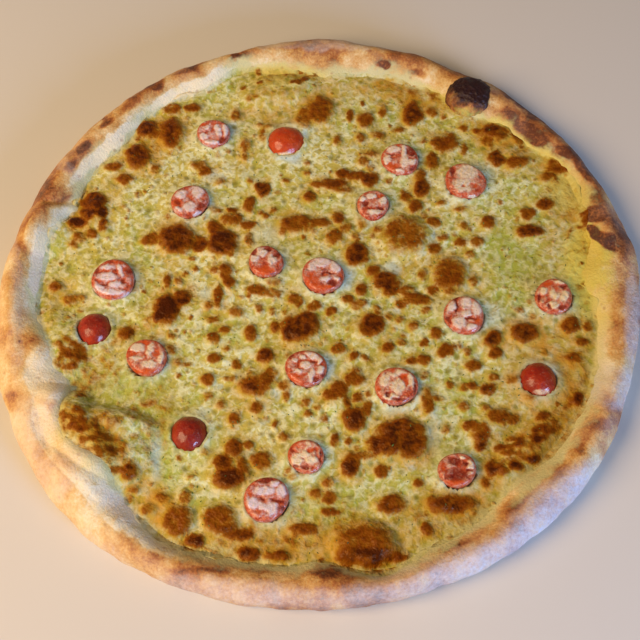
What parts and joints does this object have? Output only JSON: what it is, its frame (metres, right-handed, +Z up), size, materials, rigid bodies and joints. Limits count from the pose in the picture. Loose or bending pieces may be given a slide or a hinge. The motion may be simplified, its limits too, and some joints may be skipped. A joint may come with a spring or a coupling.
{
  "type": "pesto pizza",
  "caption": "Whole round pizza with a puffed, browned crust, blistered cheese with green pesto, and small baked tomato pieces.",
  "frame": {"origin": "under the middle of the pizza, on the surface that it lies on", "axes": "+Z up, out of the cheese; +Y away from the side that faces the viewer; +X to the viewer's right"},
  "size_m": [0.3318, 0.3274, 0.022],
  "materials": {
    "crust": "baked wheat dough, golden to brown, matt and floury",
    "cheese": "melted cheese with green pesto and browned blisters, slightly oily",
    "tomato": "baked cherry tomato, moist skin and cut flesh"
  },
  "bodies": {
    "root": {"crust": "crust", "cheese": "cheese", "tomato_01": "tomato", "tomato_02": "tomato", "tomato_03": "tomato", "tomato_04": "tomato", "tomato_05": "tomato", "tomato_06": "tomato", "tomato_07": "tomato", "tomato_08": "tomato", "tomato_09": "tomato", "tomato_10": "tomato", "tomato_11": "tomato", "tomato_12": "tomato", "tomato_13": "tomato", "tomato_14": "tomato", "tomato_15": "tomato", "tomato_16": "tomato", "tomato_17": "tomato", "tomato_18": "tomato", "tomato_19": "tomato", "tomato_20": "tomato"}
  },
  "joints": []
}
